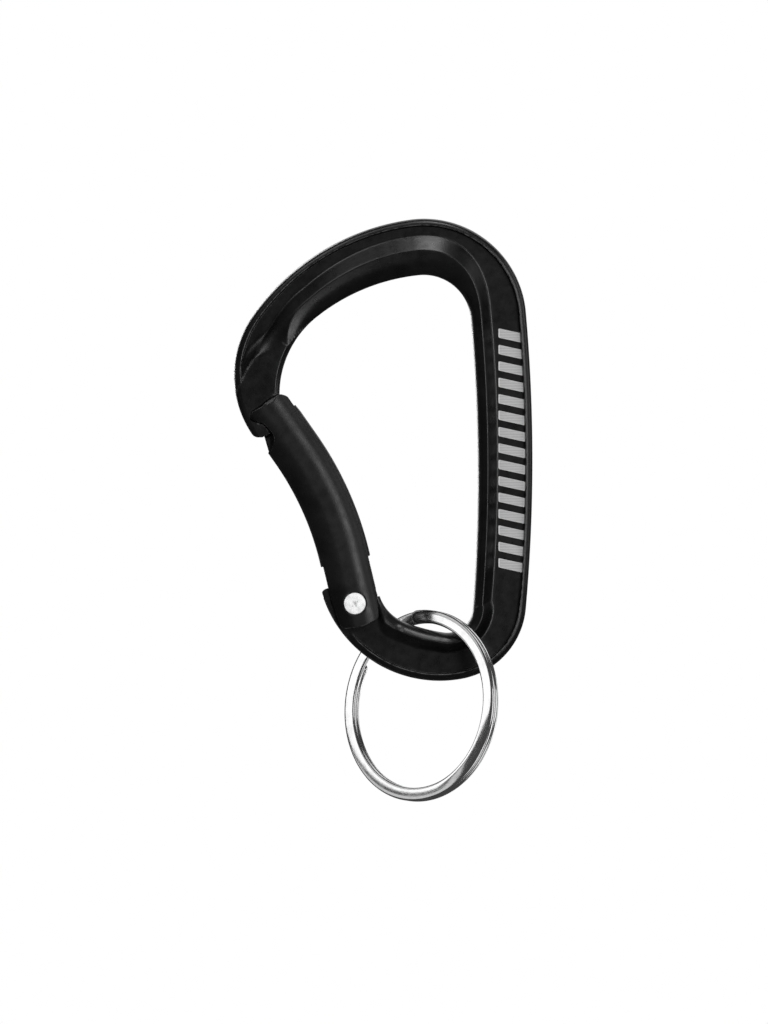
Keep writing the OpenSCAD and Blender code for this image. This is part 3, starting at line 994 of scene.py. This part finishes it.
def soft_panel(name, direction, distance, size, radiance, only=()):
    """A soft area light that faces the object, or that lights only some of its pieces."""
    light = bpy.data.lights.new(name, "AREA")
    light.shape = "RECTANGLE"
    light.size, light.size_y = size
    light.energy = radiance * math.pi * size[0] * size[1]
    lamp = bpy.data.objects.new(name, light)
    aim = Vector((0, 0, -30)) * MM
    away = Vector(direction).normalized()
    lamp.location = aim + away * distance
    lamp.rotation_euler = away.to_track_quat("Z", "Y").to_euler()
    bpy.context.scene.collection.objects.link(lamp)
    if only:
        lit = bpy.data.collections.new(name + "_lights")
        for piece in only:
            lit.objects.link(piece)
        lamp.light_linking.receiver_collection = lit


# How bright the surroundings are to the camera and to matt surfaces, and in reflections
WHITE_AROUND, DARK_AROUND = 1.0, 0.06


def surroundings(tree, level):
    """An even light from all round."""
    shader = tree.nodes.new("ShaderNodeBackground")
    shader.inputs["Color"].default_value = (level, level, level, 1)
    return shader.outputs[0]


def build_world():
    """White surroundings that shiny surfaces see as dark."""
    world = bpy.data.worlds.new("studio")
    world.use_nodes = True
    bpy.context.scene.world = world
    tree = world.node_tree
    path = tree.nodes.new("ShaderNodeLightPath")
    which = tree.nodes.new("ShaderNodeMixShader")
    tree.links.new(path.outputs["Is Glossy Ray"], which.inputs[0])
    tree.links.new(surroundings(tree, WHITE_AROUND), which.inputs[1])
    tree.links.new(surroundings(tree, DARK_AROUND), which.inputs[2])
    tree.links.new(which.outputs[0], tree.nodes["World Output"].inputs["Surface"])
    tree.nodes.remove(tree.nodes["Background"])


def build_lights(dark, bright):
    """Soft panels: some light only the black pieces, and some only the bright metal ones."""
    soft_panel("overhead_panel", (0.1, -0.42, 0.9), 0.36, (0.10, 0.16), 7.0, dark)
    soft_panel("strip_panel", (0.46, -0.88, 0.05), 0.4, (0.12, 0.3), 5.0, dark)
    soft_panel("back_strip_panel", (-0.4, 0.85, 0.3), 0.4, (0.12, 0.3), 5.0, dark)
    soft_panel("side_strip_panel", (0.95, 0.25, 0.3), 0.4, (0.1, 0.3), 1.6, dark)
    soft_panel("right_panel", (1, -0.3, 0.35), 0.4, (0.12, 0.3), 1.2, dark)
    soft_panel("high_left_panel", (-0.42, -0.51, 0.75), 0.36, (0.12, 0.12), 3.6, dark)
    soft_panel("back_panel", (0.2, 1, 0.6), 0.4, (0.3, 0.3), 1.0)
    soft_panel("left_panel", (-0.97, -0.2, 0.14), 0.34, (0.36, 0.12), 1.25, bright)
    soft_panel("left_high_panel", (-0.85, -0.2, 0.6), 0.34, (0.34, 0.16), 0.6, bright)
    soft_panel("left_low_panel", (-0.9, -0.1, -0.28), 0.34, (0.3, 0.12), 0.6, bright)
    soft_panel("front_panel", (0.2, -1, 0.05), 0.4, (0.3, 0.2), 1.0, bright)
    soft_panel("upper_panel", (0.3, -0.1, 1), 0.34, (0.3, 0.3), 1.0, bright)
    soft_panel("right_edge_panel", (0.95, 0.25, -0.1), 0.34, (0.3, 0.3), 1.0, bright)
    soft_panel("low_right_panel", (0.75, 0.35, -0.6), 0.34, (0.26, 0.26), 0.8, bright)
    soft_panel("low_front_panel", (0.1, -0.75, -0.7), 0.34, (0.22, 0.18), 0.8, bright)


def build_floor():
    s = Shader("pale_floor", Roughness=0.7)
    colour = s.blend(s.noise(30, 2), (0.80, 0.80, 0.80), (0.84, 0.84, 0.84))
    material = s.finish(colour, None, s.bump(s.noise(900, 2), 0.05, 0.0001))
    low = cad_low.z / MM - 0.4
    outline = circle_outline((0, 0), 900, 96)
    floor = make_object("floor", [(x, y, low) for x, y in outline], [tuple(range(len(outline)))])
    floor.data.transform(TO_METRES)
    floor.data.materials.append(material)
    floor.visible_glossy = False
    floor.visible_shadow = False


def build_camera():
    """Level and square on to the front, as far away as a long lens, so without perspective."""
    lens = bpy.data.cameras.new("camera")
    lens.type = "ORTHO"
    lens.ortho_scale = 133.12 * MM
    camera = bpy.data.objects.new("camera", lens)
    camera.location = Vector((-5.33, -300, -30.875)) * MM
    camera.rotation_euler = (math.radians(90), 0, 0)
    bpy.context.scene.collection.objects.link(camera)
    bpy.context.scene.camera = camera


build_camera()
build_floor()
bpy.context.scene.view_settings.view_transform = "Standard"

black_frame = anodised("anodised_frame", 0.001, 0.003, 0.27, 0.35)
black_gate = anodised("anodised_gate", 0.0014, 0.004, 0.35, 0.45)
black_parts = [build_frame(black_frame), build_gate(black_gate)]
rivet = build_rivet(peened_steel("rivet_steel"))
spring_material = spring_wire_steel("spring_steel")
plunger, spring = build_plunger(spring_material), build_spring(spring_material)
key_ring = build_key_ring(polished_steel("polished_steel"))
build_marks(laser_mark("light_mark"))
build_world()
build_lights(black_parts, [rivet, plunger, spring, key_ring])
